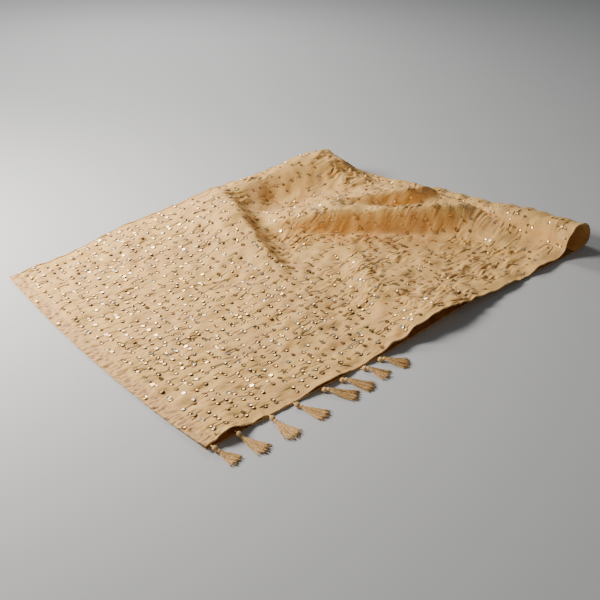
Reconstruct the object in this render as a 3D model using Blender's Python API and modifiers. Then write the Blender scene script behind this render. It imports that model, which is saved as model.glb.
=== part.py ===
"""A dupatta stole of light crinkled cloth, folded once across and laid down, with tassels along one long edge.

The stole lies in the frame of its folded rectangle: +X runs along the cloth from the short end that lies on
top to the loop at the fold, +Y from the near long edge to the far one, and +Z up from the surface it rests on.
At the end everything moves together, so that the origin is under the middle of the whole piece.
"""

import math
from collections import namedtuple

import bmesh
import bpy
import numpy as np
from mathutils import Matrix, Vector

# ---- Sizes of the cloth, in metres ----------------------------------------------------------------------

WIDTH = 0.70                # between the two long edges, hems left out
TOP_LENGTH = 0.90           # cloth on top, from the short end to the loop at the fold
LOOP_LENGTH = 0.22          # cloth in the loop
UNDER_LENGTH = 0.98         # cloth underneath, from the loop to the other short end
TOP_END_X = -0.50           # the short end on top
UNDER_END_X = -0.497        # the short end underneath
NEAR_Y = -WIDTH / 2         # the near long edge
WALL = 0.002                # the crinkled cloth's thickness
GAP = 0.0003                # between neighbouring pieces
BENT_GAP = 0.0006           # the same where their ends meet on a bend, and the walls lean together
REST_TOP = 0.0045           # middle of the cloth on top where it lies flat
REST_UNDER = WALL / 2       # middle of the cloth underneath
END_BAND = 0.020            # width of the close-pleated band at the short end
END_BOW = 0.014             # how far the middle of the short end bows out
END_BOW_REACH = 0.10        # how far into the cloth that bow can be felt
HEM_WIDTH = 0.004           # the rolled hem of each long edge
FLARE = 0.030               # how far the far edge spreads out where the cloth is pulled
FLARE_X = -0.16             # middle of that spread
FLARE_HALF_LENGTH = 0.16
LOOP_BLEND = 0.05           # cloth before the loop over which the folds run into it
LOOP_BLEND_PAST = 0.05      # and cloth past the loop's start
CARRY_BEFORE = 0.06         # cloth before the loop from which the pleats are carried on into it
CARRY_PAST = 0.12           # and cloth past the loop's start over which they fade
CARRY_SOFT = 0.008          # how softly they meet the loop's own shape, in height

# ---- Folds, mounds and the loop -------------------------------------------------------------------------

# A station of a fold: its place along the fold's run, the crest's place across that run, the crest's height,
# the reach of the steep front and of the long back, and the crest's lean to the front for each metre it rises
Station = namedtuple("Station", "at crest height front back lean")

NEAR_PLEAT = [
    Station(-0.04, 0.205, 0.000, 0.030, 0.060, 0.0),
    Station(0.03, 0.172, 0.016, 0.022, 0.070, 0.3),
    Station(0.09, 0.134, 0.042, 0.022, 0.090, 0.5),
    Station(0.17, 0.084, 0.054, 0.022, 0.075, 0.6),
    Station(0.26, 0.012, 0.062, 0.024, 0.055, 0.6),
    Station(0.36, -0.066, 0.068, 0.032, 0.050, 0.5),
    Station(0.44, -0.130, 0.064, 0.045, 0.060, 0.3),
    Station(0.54, -0.205, 0.050, 0.070, 0.080, 0.0),
]
FAR_PLEAT = [
    Station(0.14, 0.130, 0.000, 0.030, 0.060, 0.0),
    Station(0.20, 0.120, 0.022, 0.022, 0.080, 0.4),
    Station(0.28, 0.088, 0.044, 0.024, 0.090, 0.5),
    Station(0.36, 0.048, 0.060, 0.024, 0.090, 0.5),
    Station(0.43, 0.006, 0.058, 0.026, 0.090, 0.4),
    Station(0.49, -0.036, 0.048, 0.030, 0.080, 0.2),
    Station(0.56, -0.090, 0.030, 0.040, 0.080, 0.0),
]
BACK_RIDGE = [
    Station(-0.10, 0.300, 0.000, 0.060, 0.100, 0.0),
    Station(0.00, 0.305, 0.014, 0.050, 0.100, 0.0),
    Station(0.08, 0.310, 0.046, 0.045, 0.100, 0.0),
    Station(0.20, 0.310, 0.061, 0.050, 0.100, 0.0),
    Station(0.30, 0.308, 0.075, 0.075, 0.100, 0.0),
    Station(0.40, 0.300, 0.055, 0.110, 0.100, 0.0),
    Station(0.48, 0.300, 0.018, 0.120, 0.100, 0.0),
    Station(0.56, 0.300, 0.000, 0.120, 0.100, 0.0),
]
# This one runs across the cloth, so "at" is a y, "crest" is an x, and its front is its right-hand side
CROSS_RIDGE = [
    Station(-0.06, -0.050, 0.000, 0.030, 0.060, 0.0),
    Station(0.00, -0.054, 0.012, 0.026, 0.070, 0.0),
    Station(0.08, -0.044, 0.028, 0.026, 0.080, 0.0),
    Station(0.15, -0.030, 0.044, 0.036, 0.090, 0.0),
    Station(0.22, -0.016, 0.050, 0.046, 0.100, 0.0),
    Station(0.30, 0.000, 0.036, 0.050, 0.100, 0.0),
    Station(0.36, 0.006, 0.020, 0.050, 0.100, 0.0),
]
# This one slants across the cloth in front of the pleats, and its front is its left-hand side
SLANTING_RIDGE = [
    Station(-0.32, -0.040, 0.000, 0.030, 0.060, 0.0),
    Station(-0.25, -0.006, 0.005, 0.030, 0.060, 0.0),
    Station(-0.21, 0.013, 0.009, 0.026, 0.060, 0.0),
    Station(-0.16, 0.044, 0.012, 0.024, 0.060, 0.0),
    Station(-0.10, 0.078, 0.012, 0.024, 0.060, 0.0),
    Station(-0.05, 0.104, 0.006, 0.026, 0.060, 0.0),
    Station(0.00, 0.130, 0.000, 0.030, 0.060, 0.0),
]
FOLDS_ALONG = (NEAR_PLEAT, FAR_PLEAT, BACK_RIDGE)

# A soft mound, or a hollow where the height is negative
Mound = namedtuple("Mound", "x y half_length half_width height")
MOUNDS = [
    Mound(-0.16, 0.34, 0.22, 0.14, 0.022),      # the rise towards the far edge
    Mound(0.20, 0.22, 0.20, 0.13, 0.008),       # the rumpled middle
    Mound(0.14, 0.215, 0.07, 0.05, -0.018),     # the bowl between the ridges and the pleats
    Mound(-0.13, -0.13, 0.07, 0.11, 0.008),     # in front of the cross ridge
    Mound(0.12, -0.15, 0.08, 0.12, 0.006),      # in front of the near pleat
    Mound(0.45, -0.27, 0.04, 0.05, -0.004),     # the hollow before the loop
]

# How high the near edge of the upper cloth is lifted, and how far into the cloth the lift reaches
Lift = namedtuple("Lift", "x height")
NEAR_LIFTS = [
    Lift(-0.50, 0.008),
    Lift(-0.46, 0.014),
    Lift(-0.42, 0.012),
    Lift(-0.36, 0.002),
    Lift(-0.28, 0.004),
    Lift(-0.07, 0.006),
    Lift(0.01, 0.025),
    Lift(0.06, 0.027),
    Lift(0.10, 0.022),
    Lift(0.18, 0.014),
    Lift(0.30, 0.013),
    Lift(0.42, 0.002),
]
LIFT_REACH = 0.09

# A section of the loop at the fold: its y, then the x of its steep flank, of its top, of its outer side and
# of where it lands, the height of its top, and the height at which the upper cloth comes into it
Section = namedtuple("Section", "y flank top height outer landing lead")
LOOP = [
    Section(-0.35, 0.458, 0.492, 0.063, 0.549, 0.500, 0.006),
    Section(-0.30, 0.458, 0.488, 0.064, 0.546, 0.500, 0.010),
    Section(-0.24, 0.445, 0.480, 0.064, 0.537, 0.495, 0.020),
    Section(-0.18, 0.435, 0.468, 0.058, 0.523, 0.490, 0.040),
    Section(-0.10, 0.430, 0.458, 0.048, 0.506, 0.485, 0.043),
    Section(0.00, 0.430, 0.455, 0.041, 0.495, 0.476, 0.038),
    Section(0.10, 0.430, 0.446, 0.029, 0.480, 0.464, 0.028),
    Section(0.20, 0.420, 0.434, 0.020, 0.468, 0.454, 0.019),
    Section(0.30, 0.408, 0.422, 0.017, 0.456, 0.443, 0.016),
    Section(0.35, 0.403, 0.418, 0.016, 0.452, 0.440, 0.015),
]
LOOP_LEAD = 0.05            # from where the loop's cloth starts to its flank
FLANK_SHARE = 0.5           # height of the flank's steepest place, as a share of the top's
OUTER_SHARE = 0.42          # height of the outermost place, as a share of the top's
ROUNDNESS = 0.55            # length of a curve's handles, as a share of its reach

# ---- Tassels --------------------------------------------------------------------------------------------

# A tassel: the x where it hangs from the near hem, its turn from straight out towards +X in degrees, its length
# from hem to tip, and the layer whose hem it hangs from
Tassel = namedtuple("Tassel", "x turn length layer")
TASSELS = [
    Tassel(-0.492, 19, 0.050, "upper"),
    Tassel(-0.445, 16, 0.060, "upper"),
    Tassel(-0.376, 2, 0.061, "upper"),
    Tassel(-0.326, 24, 0.060, "upper"),
    Tassel(-0.265, 34, 0.064, "lower"),
    Tassel(-0.223, 33, 0.061, "lower"),
    Tassel(-0.169, 26, 0.051, "lower"),
    Tassel(-0.130, 38, 0.057, "lower"),
]
# The wrapped knot as a turned profile: radius, and distance from the hem
Turn = namedtuple("Turn", "radius down")
KNOT_PROFILE = [
    Turn(0.0000, 0.0000),
    Turn(0.0012, 0.0000),
    Turn(0.0012, 0.0035),
    Turn(0.0038, 0.0055),
    Turn(0.0048, 0.0085),
    Turn(0.0038, 0.0115),
    Turn(0.0022, 0.0130),
    Turn(0.0030, 0.0145),
    Turn(0.0030, 0.0180),
    Turn(0.0000, 0.0180),
]
KNOT_SIDES = 12
SKIRT_SIDES = 12
SKIRT_NECK = 0.0034         # radius of the strands where they leave the knot
SKIRT_HALF_WIDTH = 0.0115   # at the tips
SKIRT_HALF_HEIGHT = 0.0028  # at the tips
FLOOR_CLEARANCE = 0.0002    # under the tassels
HEM_CLEARANCE = 0.0012      # from the hem to the middle of a tassel's cord, which meets it at a slant

# ---- Facets: stretches of the cloth and the number of faces in each ---------------------------------------

Stretch = namedtuple("Stretch", "start end faces")
UNDER_START = TOP_LENGTH + LOOP_LENGTH
LEFT_END = 0.36             # the upper cloth lies nearly flat up to here
MIDDLE_END = 0.63           # the cross ridge is before this place, and the tall pleats are after it
LENGTHS = {
    "upper_end_band": [Stretch(0.0, END_BAND, 1)],
    "upper_left": [Stretch(END_BAND + GAP, LEFT_END, 7)],
    "upper_middle": [Stretch(LEFT_END + BENT_GAP, MIDDLE_END, 12)],
    "upper_right": [Stretch(MIDDLE_END + BENT_GAP, TOP_LENGTH, 12)],
    "fold_roll": [Stretch(TOP_LENGTH + BENT_GAP, UNDER_START, 12)],
    "lower_layer": [Stretch(UNDER_START + GAP, UNDER_START + UNDER_LENGTH, 3)],
}
# The stretches of each hem, and the pieces of cloth that they run beside
HEM_STRETCHES = {
    "top": ("upper_end_band", "upper_left", "upper_middle", "upper_right"),
    "fold": ("fold_roll",),
    "under": ("lower_layer",),
}
# Across the cloth the facets follow the near pleat: these stretches are measured from its crest
BESIDE_PLEAT = [Stretch(-0.065, -0.045, 1), Stretch(-0.045, -0.003, 6), Stretch(-0.003, 0.050, 4),
                Stretch(0.050, 0.130, 6)]
NEAR_FACES = 7              # from the near edge to the pleat
FAR_FACES = 8               # from the pleat to the far edge

MATERIALS = {
    # name: colour and roughness; every one is unpolished cloth or thread
    "cloth": ((0.62, 0.47, 0.31), 0.85),
    "hem": ((0.58, 0.42, 0.27), 0.85),
    "tassel_thread": ((0.55, 0.38, 0.22), 0.80),
}


# ---- The shape of the cloth -----------------------------------------------------------------------------


def follow(place, rows, name):
    """A smooth curve through one column of a table, level beyond both of its ends."""
    at = np.array([row[0] for row in rows])
    value = np.array([getattr(row, name) for row in rows])
    slope = np.gradient(value, at)
    slope[0] = 0.0
    slope[-1] = 0.0
    place = np.clip(place, at[0], at[-1])
    i = np.clip(np.searchsorted(at, place, side="right") - 1, 0, len(at) - 2)
    step = at[i + 1] - at[i]
    t = (place - at[i]) / step
    start = (2 * t**3 - 3 * t**2 + 1) * value[i] + (t**3 - 2 * t**2 + t) * step * slope[i]
    end = (3 * t**2 - 2 * t**3) * value[i + 1] + (t**3 - t**2) * step * slope[i + 1]
    return start + end


def ease(value, start, end):
    """A smooth step from 0 at start to 1 at end."""
    t = np.clip((value - start) / (end - start), 0.0, 1.0)
    return t * t * (3 - 2 * t)


def fold(at, across, rows):
    """What one fold adds: its rise, and its shift along the run and across it."""
    crest = follow(at, rows, "crest")
    height = follow(at, rows, "height")
    front = follow(at, rows, "front")
    back = follow(at, rows, "back")
    lean = follow(at, rows, "lean") * height
    small = 0.001
    slope = (follow(at + small, rows, "crest") - follow(at - small, rows, "crest")) / (2 * small)
    stretch = np.sqrt(1 + slope**2)
    off = (across - crest) / stretch
    steep = np.exp(-((off / front) ** 2))
    gentle = (1 + (off / back) ** 2) ** -1.5
    rise = height * np.where(off < 0, steep, gentle)
    shift = lean * np.exp(-((off / (1.3 * front)) ** 2))
    return rise, shift * slope / stretch, -shift / stretch


def top_cloth(along, aside):
    """The upper cloth before it comes to the loop."""
    y = aside - WIDTH / 2
    bow = END_BOW * (1 - (2 * aside / WIDTH - 1) ** 2) * np.exp(-along / END_BOW_REACH)
    x = TOP_END_X + along - bow
    flare = FLARE * np.exp(-(((x - FLARE_X) / FLARE_HALF_LENGTH) ** 2)) * ease(y, 0.05, WIDTH / 2)
    z = REST_TOP + follow(x, NEAR_LIFTS, "height") * np.exp(-(((y - NEAR_Y) / LIFT_REACH) ** 2))
    shift_x = np.zeros_like(x)
    shift_y = flare
    for rows in FOLDS_ALONG:
        rise, run, side = fold(x, y, rows)
        z = z + rise
        shift_x = shift_x + run
        shift_y = shift_y + side
    mirrored = [row._replace(crest=-row.crest) for row in CROSS_RIDGE]
    rise, _, side = fold(y, -x, mirrored)
    z = z + rise
    shift_x = shift_x - side
    rise, _, _ = fold(y, x, SLANTING_RIDGE)
    z = z + rise
    for mound in MOUNDS:
        far = ((x - mound.x) / mound.half_length) ** 2 + ((y - mound.y) / mound.half_width) ** 2
        z = z + mound.height * np.exp(-far)
    return np.stack([x + shift_x, y + shift_y, z], axis=-1)


def arc(points, t):
    """A cubic curve from the first of four points to the last."""
    a, b, c, d = points
    t = t[..., None]
    return (1 - t) ** 3 * a + 3 * (1 - t) ** 2 * t * b + 3 * (1 - t) * t**2 * c + t**3 * d


def loop_cloth(along, y):
    """The cloth that comes into the loop, goes over it and lies underneath, as x, y and z."""
    flank, top, height, outer, landing, lead = [follow(y, LOOP, name) for name in Section._fields[1:]]
    start = flank - LOOP_LEAD
    middle = np.maximum(FLANK_SHARE * height, lead + 0.3 * (height - lead))
    side = OUTER_SHARE * height
    floor = np.full_like(y, REST_UNDER)

    def at(x, z):
        return np.stack([x, z], axis=-1)

    quarters = [
        (at(start, lead), at(start + 0.8 * LOOP_LEAD, lead),
         at(flank, middle - 0.7 * (middle - lead)), at(flank, middle)),
        (at(flank, middle), at(flank, middle + ROUNDNESS * (height - middle)),
         at(top - ROUNDNESS * (top - flank), height), at(top, height)),
        (at(top, height), at(top + ROUNDNESS * (outer - top), height),
         at(outer, side + ROUNDNESS * (height - side)), at(outer, side)),
        (at(outer, side), at(outer, 0.2 * side),
         at(landing + 0.7 * (outer - landing), floor), at(landing, floor)),
    ]
    turn = 4 * (along - TOP_LENGTH) / LOOP_LENGTH
    quarter = np.clip(np.floor(turn), 0, 3)
    section = np.zeros(y.shape + (2,))
    for number, points in enumerate(quarters):
        here = arc(points, np.clip(turn - number, 0.0, 1.0))
        section = np.where((quarter == number)[..., None], here, section)
    before = at(start + along - TOP_LENGTH, lead)
    past = (along - TOP_LENGTH - LOOP_LENGTH) / UNDER_LENGTH
    after = at(landing + past * (UNDER_END_X - landing), floor)
    section = np.where((turn < 0)[..., None], before, section)
    section = np.where((turn > 4)[..., None], after, section)
    return np.stack([section[..., 0], y, section[..., 1]], axis=-1)


def cloth(along, aside):
    """Where the middle of the cloth lies, from the distance along it and the distance from its near edge."""
    share = ease(along, TOP_LENGTH - LOOP_BLEND, TOP_LENGTH + LOOP_BLEND_PAST)[..., None]
    upper = top_cloth(along, aside)
    lying = (1 - share) * upper + share * loop_cloth(along, aside - WIDTH / 2)
    fading = 1 - ease(along, TOP_LENGTH, TOP_LENGTH + CARRY_PAST)
    short = (upper[..., 2] - REST_TOP) * fading - lying[..., 2]
    rise = 0.5 * (short + np.sqrt(short**2 + CARRY_SOFT**2))
    lying[..., 2] += rise * fading * ease(along, TOP_LENGTH - CARRY_BEFORE, TOP_LENGTH)
    return lying


# ---- Making pieces --------------------------------------------------------------------------------------


def material(name):
    """A Principled material with this part's colour and roughness."""
    colour, roughness = MATERIALS[name]
    made = bpy.data.materials.new(name)
    made.use_nodes = True
    shader = made.node_tree.nodes["Principled BSDF"]
    shader.inputs["Base Color"].default_value = (*colour, 1.0)
    shader.inputs["Roughness"].default_value = roughness
    shader.inputs["Metallic"].default_value = 0.0
    made.diffuse_color = (*colour, 1.0)
    return made


def add_object(name, mesh, finish, parent, collection):
    """Put a mesh in the scene as a named piece, with its own copy of a finish."""
    mesh.materials.append(finish.copy())
    piece = bpy.data.objects.new(name, mesh)
    piece.parent = parent
    collection.objects.link(piece)
    return piece


def stations(stretches):
    """The places where the facets of some stretches meet."""
    places = [np.linspace(s.start, s.end, s.faces + 1) for s in stretches]
    return np.unique(np.concatenate(places).round(6))


def panel_rows(along):
    """Places across the panel at one station along it, closer together beside the near pleat."""
    crest = follow(np.array([TOP_END_X + along]), NEAR_PLEAT, "crest")[0] + WIDTH / 2
    beside = crest + stations(BESIDE_PLEAT)
    near = np.linspace(0.0, beside[0], NEAR_FACES + 1)
    far = np.linspace(beside[-1], WIDTH, FAR_FACES + 1)
    return np.concatenate([near, beside[1:-1], far])


def sheet(name, along, rows_at, finish, parent, collection):
    """A wall of cloth through some stations along it, with the rows that rows_at gives across each."""
    across = [rows_at(place) for place in along]
    steps = len(along) - 1
    rows = len(across[0]) - 1
    shape = bmesh.new()
    bmesh.ops.create_grid(shape, x_segments=steps, y_segments=rows, size=0.5)
    for vert in shape.verts:
        station = round((vert.co.x + 0.5) * steps)
        row = round((vert.co.y + 0.5) * rows)
        vert.co = cloth(along[station:station + 1], across[station][row:row + 1])[0]
    mesh = bpy.data.meshes.new(name)
    shape.to_mesh(mesh)
    shape.free()
    piece = add_object(name, mesh, finish, parent, collection)
    wall = piece.modifiers.new("wall", "SOLIDIFY")
    wall.thickness = WALL
    wall.offset = 0.0
    wall.use_even_offset = True
    mesh.shade_smooth()
    return piece


def hem_rows(start):
    """The two sides of a hem, which are the same all along it."""
    sides = np.array([start, start + HEM_WIDTH])
    return lambda along: sides


def knot(name, place, finish, parent, collection):
    """The wrapped knot: a turned profile with its axis from the hem to the strands."""
    mesh = bpy.data.meshes.new(name)
    profile = [(turn.radius, 0.0, -turn.down) for turn in KNOT_PROFILE]
    mesh.from_pydata(profile, [(i, i + 1) for i in range(len(profile) - 1)], [])
    piece = add_object(name, mesh, finish, parent, collection)
    piece.matrix_local = place
    screw = piece.modifiers.new("turned", "SCREW")
    screw.steps = KNOT_SIDES
    screw.render_steps = KNOT_SIDES
    screw.use_merge_vertices = True
    screw.merge_threshold = 0.00001
    screw.use_smooth_shade = True
    return piece


def skirt(name, place, length, finish, parent, collection):
    """The reach of a tassel's strands: round at the knot, wide and flat at the tips."""
    shape = bmesh.new()
    bmesh.ops.create_cone(shape, cap_ends=True, segments=SKIRT_SIDES, radius1=SKIRT_HALF_WIDTH,
                          radius2=SKIRT_NECK, depth=length)
    for vert in shape.verts:
        if vert.co.z < 0:
            vert.co.y *= SKIRT_HALF_HEIGHT / SKIRT_HALF_WIDTH
    bmesh.ops.translate(shape, verts=shape.verts, vec=(0.0, 0.0, -length / 2))
    mesh = bpy.data.meshes.new(name)
    shape.to_mesh(mesh)
    shape.free()
    piece = add_object(name, mesh, finish, parent, collection)
    piece.matrix_local = place
    mesh.shade_smooth()
    mesh.set_sharp_from_angle(angle=math.radians(50))
    return piece


def placed(start, end):
    """A frame at start whose -Z points to end and whose X is level."""
    down = (end - start).normalized()
    level = Vector((-down.y, down.x, 0.0)).normalized()
    up = (-down).cross(level)
    frame = Matrix((level, up, -down)).transposed().to_4x4()
    frame.translation = start
    return frame


def hem_edge(tassel):
    """The outer side of the near hem where a tassel hangs from it."""
    x = np.array([tassel.x])
    if tassel.layer == "upper":
        point = top_cloth(x - TOP_END_X, np.array([-HEM_WIDTH]))[0]
    else:
        point = np.array([tassel.x, NEAR_Y - HEM_WIDTH, REST_UNDER])
    return Vector((tassel.x, point[1] - HEM_CLEARANCE, point[2]))


def add_tassel(number, tassel, finish, parent, collection):
    """One tassel: its knot slopes from the hem to the floor, and its strands lie on the floor."""
    turn = math.radians(tassel.turn)
    out = Vector((math.sin(turn), -math.cos(turn), 0.0))
    hem = hem_edge(tassel)
    hem.z = max(hem.z, KNOT_PROFILE[1].radius + FLOOR_CLEARANCE)
    knot_length = KNOT_PROFILE[-1].down
    bead = max(turned.radius for turned in KNOT_PROFILE)
    neck = hem + out * knot_length
    neck.z = max(SKIRT_NECK + FLOOR_CLEARANCE, 2 * bead - hem.z)
    knot(f"tassel_{number}_knot", placed(hem, neck), finish, parent, collection)
    reached = hem + (neck - hem).normalized() * knot_length
    start = reached + out * GAP
    start.z = max(reached.z, SKIRT_NECK + FLOOR_CLEARANCE)
    end = start + out * (tassel.length - knot_length)
    end.z = SKIRT_HALF_HEIGHT + FLOOR_CLEARANCE
    # the mouth of the skirt is square to its own axis, so it starts far enough from the knot's end to clear it
    tilt = abs(math.atan2(start.z - end.z, (end - start).length)) + abs(math.asin((hem - neck).normalized().z))
    start += out * (SKIRT_NECK * math.sin(tilt))
    skirt(f"tassel_{number}_skirt", placed(start, end), (end - start).length, finish, parent, collection)


def centre_on_origin(pieces, holder):
    """Move everything so that the origin is under the middle of the whole piece."""
    bpy.context.view_layer.update()
    graph = bpy.context.evaluated_depsgraph_get()
    corners = []
    for piece in pieces:
        seen = piece.evaluated_get(graph)
        mesh = seen.to_mesh()
        corners.extend(piece.matrix_world @ vert.co for vert in mesh.vertices)
        seen.to_mesh_clear()
    points = np.array(corners)
    low = points.min(axis=0)
    high = points.max(axis=0)
    holder.location = (-(low[0] + high[0]) / 2, -(low[1] + high[1]) / 2, -low[2])
    bpy.context.view_layer.update()


def main():
    for thing in list(bpy.data.objects):
        bpy.data.objects.remove(thing, do_unlink=True)
    collection = bpy.data.collections.new("dupatta_stole")
    bpy.context.scene.collection.children.link(collection)
    holder = bpy.data.objects.new("stole", None)
    collection.objects.link(holder)
    finishes = {name: material(name) for name in MATERIALS}

    lengths = {name: stations(stretches) for name, stretches in LENGTHS.items()}
    for name, along in lengths.items():
        sheet(name, along, panel_rows, finishes["cloth"], holder, collection)
    for edge, start in {"near_hem": -GAP - HEM_WIDTH, "far_hem": WIDTH + GAP}.items():
        for stretch, beside in HEM_STRETCHES.items():
            along = np.unique(np.concatenate([lengths[name] for name in beside]))
            along = along[np.insert(np.diff(along) > 2 * BENT_GAP, 0, True)]
            sheet(f"{edge}_{stretch}", along, hem_rows(start), finishes["hem"], holder, collection)
    for number, tassel in enumerate(TASSELS, start=1):
        add_tassel(number, tassel, finishes["tassel_thread"], holder, collection)
    centre_on_origin([piece for piece in collection.objects if piece.type == "MESH"], holder)


main()
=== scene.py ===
# %% [markdown]
# # A folded dupatta stole
# A dupatta stole is a long, light scarf. This one is crinkled cloth with rows of sewn-on sequins, a
# close-pleated band at its short end, rolled hems and a few tassels on a long edge. It is folded once
# across and laid down, and its middle has rumpled into ridges and pleats.
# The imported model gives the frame: the pieces follow its solids, a little lower at the near edge and at the
# back left.

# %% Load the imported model
import math
from collections import namedtuple

import bmesh
import bpy
import numpy as np
from mathutils import Matrix, Vector


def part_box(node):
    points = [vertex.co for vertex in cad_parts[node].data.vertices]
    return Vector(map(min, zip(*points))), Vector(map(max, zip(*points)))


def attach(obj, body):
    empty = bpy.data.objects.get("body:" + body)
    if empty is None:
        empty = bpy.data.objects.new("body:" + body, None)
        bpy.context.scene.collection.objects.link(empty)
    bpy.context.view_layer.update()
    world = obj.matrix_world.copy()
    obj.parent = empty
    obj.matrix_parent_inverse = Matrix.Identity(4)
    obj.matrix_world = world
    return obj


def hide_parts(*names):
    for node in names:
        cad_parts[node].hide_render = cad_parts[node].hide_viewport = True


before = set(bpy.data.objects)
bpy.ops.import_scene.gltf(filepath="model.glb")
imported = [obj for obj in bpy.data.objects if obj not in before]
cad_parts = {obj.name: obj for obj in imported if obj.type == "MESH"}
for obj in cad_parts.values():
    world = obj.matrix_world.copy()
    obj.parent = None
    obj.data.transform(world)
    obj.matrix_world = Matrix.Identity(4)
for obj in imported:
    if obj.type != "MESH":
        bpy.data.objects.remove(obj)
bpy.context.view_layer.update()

print("cloth nodes:", [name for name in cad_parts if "tassel" not in name])

# %% [markdown]
# ## The cloth's own sizes
# A point of the cloth is named by two distances: `along` it, from the short end that lies on top, round
# the loop at the fold and back underneath, and `aside` from the near long edge. All the shapes below
# answer one question: where does that point lie?

# %% Sizes of the cloth
WIDTH = 0.70
TOP_LENGTH = 0.90
LOOP_LENGTH = 0.22
UNDER_LENGTH = 0.98
WHOLE_LENGTH = TOP_LENGTH + LOOP_LENGTH + UNDER_LENGTH
TOP_END_X = -0.50
UNDER_END_X = -0.497
NEAR_Y = -WIDTH / 2
REST_TOP = 0.0045
REST_UNDER = 0.001
END_BAND = 0.020
LEFT_END = 0.36
MIDDLE_END = 0.63
END_BOW = 0.014
END_BOW_REACH = 0.10
FLARE = 0.030
FLARE_X = -0.16
FLARE_HALF_LENGTH = 0.16
LOOP_BLEND = 0.05
LOOP_BLEND_PAST = 0.05
CARRY_BEFORE = 0.06
CARRY_PAST = 0.12
CARRY_SOFT = 0.008

lowest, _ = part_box("lower_layer")
SHIFT = np.array([lowest.x - UNDER_END_X, lowest.y - NEAR_Y, 0.0])
print("the cloth's frame is moved by", SHIFT.round(4), "to lie in the model's frame")

# %% [markdown]
# ## The big folds
# Cloth that has slid on a table piles up in pleats: a steep face on one side, a long soft back on the
# other, and a crest that leans over the steep face. A pleat is easier to shape than to find by
# simulation, because its crest, height and lean can each be set where they are wanted. So each fold is a
# short table of stations along its run, and a smooth curve joins them.

# %% Tables of the folds
Station = namedtuple("Station", "at crest height front back lean")
NEAR_PLEAT = [
    Station(-0.04, 0.205, 0.000, 0.030, 0.060, 0.0),
    Station(0.03, 0.172, 0.016, 0.022, 0.070, 0.3),
    Station(0.09, 0.134, 0.042, 0.022, 0.090, 0.5),
    Station(0.17, 0.084, 0.054, 0.022, 0.075, 0.6),
    Station(0.26, 0.012, 0.062, 0.024, 0.055, 0.6),
    Station(0.36, -0.066, 0.068, 0.032, 0.050, 0.5),
    Station(0.44, -0.130, 0.064, 0.045, 0.060, 0.3),
    Station(0.54, -0.205, 0.050, 0.070, 0.080, 0.0),
]
FAR_PLEAT = [
    Station(0.14, 0.130, 0.000, 0.030, 0.060, 0.0),
    Station(0.20, 0.120, 0.022, 0.022, 0.080, 0.4),
    Station(0.28, 0.088, 0.044, 0.024, 0.090, 0.5),
    Station(0.36, 0.048, 0.060, 0.024, 0.090, 0.5),
    Station(0.43, 0.006, 0.058, 0.026, 0.090, 0.4),
    Station(0.49, -0.036, 0.048, 0.030, 0.080, 0.2),
    Station(0.56, -0.090, 0.030, 0.040, 0.080, 0.0),
]
BACK_RIDGE = [
    Station(-0.10, 0.300, 0.000, 0.060, 0.100, 0.0),
    Station(0.00, 0.305, 0.014, 0.050, 0.100, 0.0),
    Station(0.08, 0.310, 0.046, 0.045, 0.100, 0.0),
    Station(0.20, 0.310, 0.061, 0.050, 0.100, 0.0),
    Station(0.30, 0.308, 0.075, 0.075, 0.100, 0.0),
    Station(0.40, 0.300, 0.055, 0.110, 0.100, 0.0),
    Station(0.48, 0.300, 0.018, 0.120, 0.100, 0.0),
    Station(0.56, 0.300, 0.000, 0.120, 0.100, 0.0),
]
# These two run across the cloth: "at" is a y and "crest" an x
CROSS_RIDGE = [
    Station(-0.06, -0.050, 0.000, 0.030, 0.060, 0.0),
    Station(0.00, -0.054, 0.012, 0.026, 0.070, 0.0),
    Station(0.08, -0.044, 0.028, 0.026, 0.080, 0.0),
    Station(0.15, -0.030, 0.044, 0.036, 0.090, 0.0),
    Station(0.22, -0.016, 0.050, 0.046, 0.100, 0.0),
    Station(0.30, 0.000, 0.036, 0.050, 0.100, 0.0),
    Station(0.36, 0.006, 0.020, 0.050, 0.100, 0.0),
]
SLANTING_RIDGE = [
    Station(-0.32, -0.040, 0.000, 0.030, 0.060, 0.0),
    Station(-0.25, -0.006, 0.005, 0.030, 0.060, 0.0),
    Station(-0.21, 0.013, 0.009, 0.026, 0.060, 0.0),
    Station(-0.16, 0.044, 0.012, 0.024, 0.060, 0.0),
    Station(-0.10, 0.078, 0.012, 0.024, 0.060, 0.0),
    Station(-0.05, 0.104, 0.006, 0.026, 0.060, 0.0),
    Station(0.00, 0.130, 0.000, 0.030, 0.060, 0.0),
]

Mound = namedtuple("Mound", "x y half_length half_width height")
MOUNDS = [
    Mound(-0.16, 0.34, 0.22, 0.14, 0.017),      # the rise towards the far edge
    Mound(0.20, 0.22, 0.20, 0.13, 0.008),       # the rumpled middle
    Mound(0.14, 0.215, 0.07, 0.05, -0.018),     # the bowl between the ridges and the pleats
    Mound(-0.13, -0.13, 0.07, 0.11, 0.008),     # in front of the cross ridge
    Mound(0.12, -0.15, 0.08, 0.12, 0.006),      # in front of the near pleat
    Mound(0.45, -0.27, 0.04, 0.05, -0.004),     # the hollow before the loop
]

Lift = namedtuple("Lift", "x height")
NEAR_LIFTS = [
    Lift(-0.50, 0.005),
    Lift(-0.46, 0.009),
    Lift(-0.42, 0.007),
    Lift(-0.36, 0.002),
    Lift(-0.28, 0.004),
    Lift(-0.07, 0.006),
    Lift(0.01, 0.025),
    Lift(0.06, 0.027),
    Lift(0.10, 0.022),
    Lift(0.18, 0.012),
    Lift(0.30, 0.004),
    Lift(0.42, 0.002),
]
LIFT_REACH = 0.09

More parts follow.
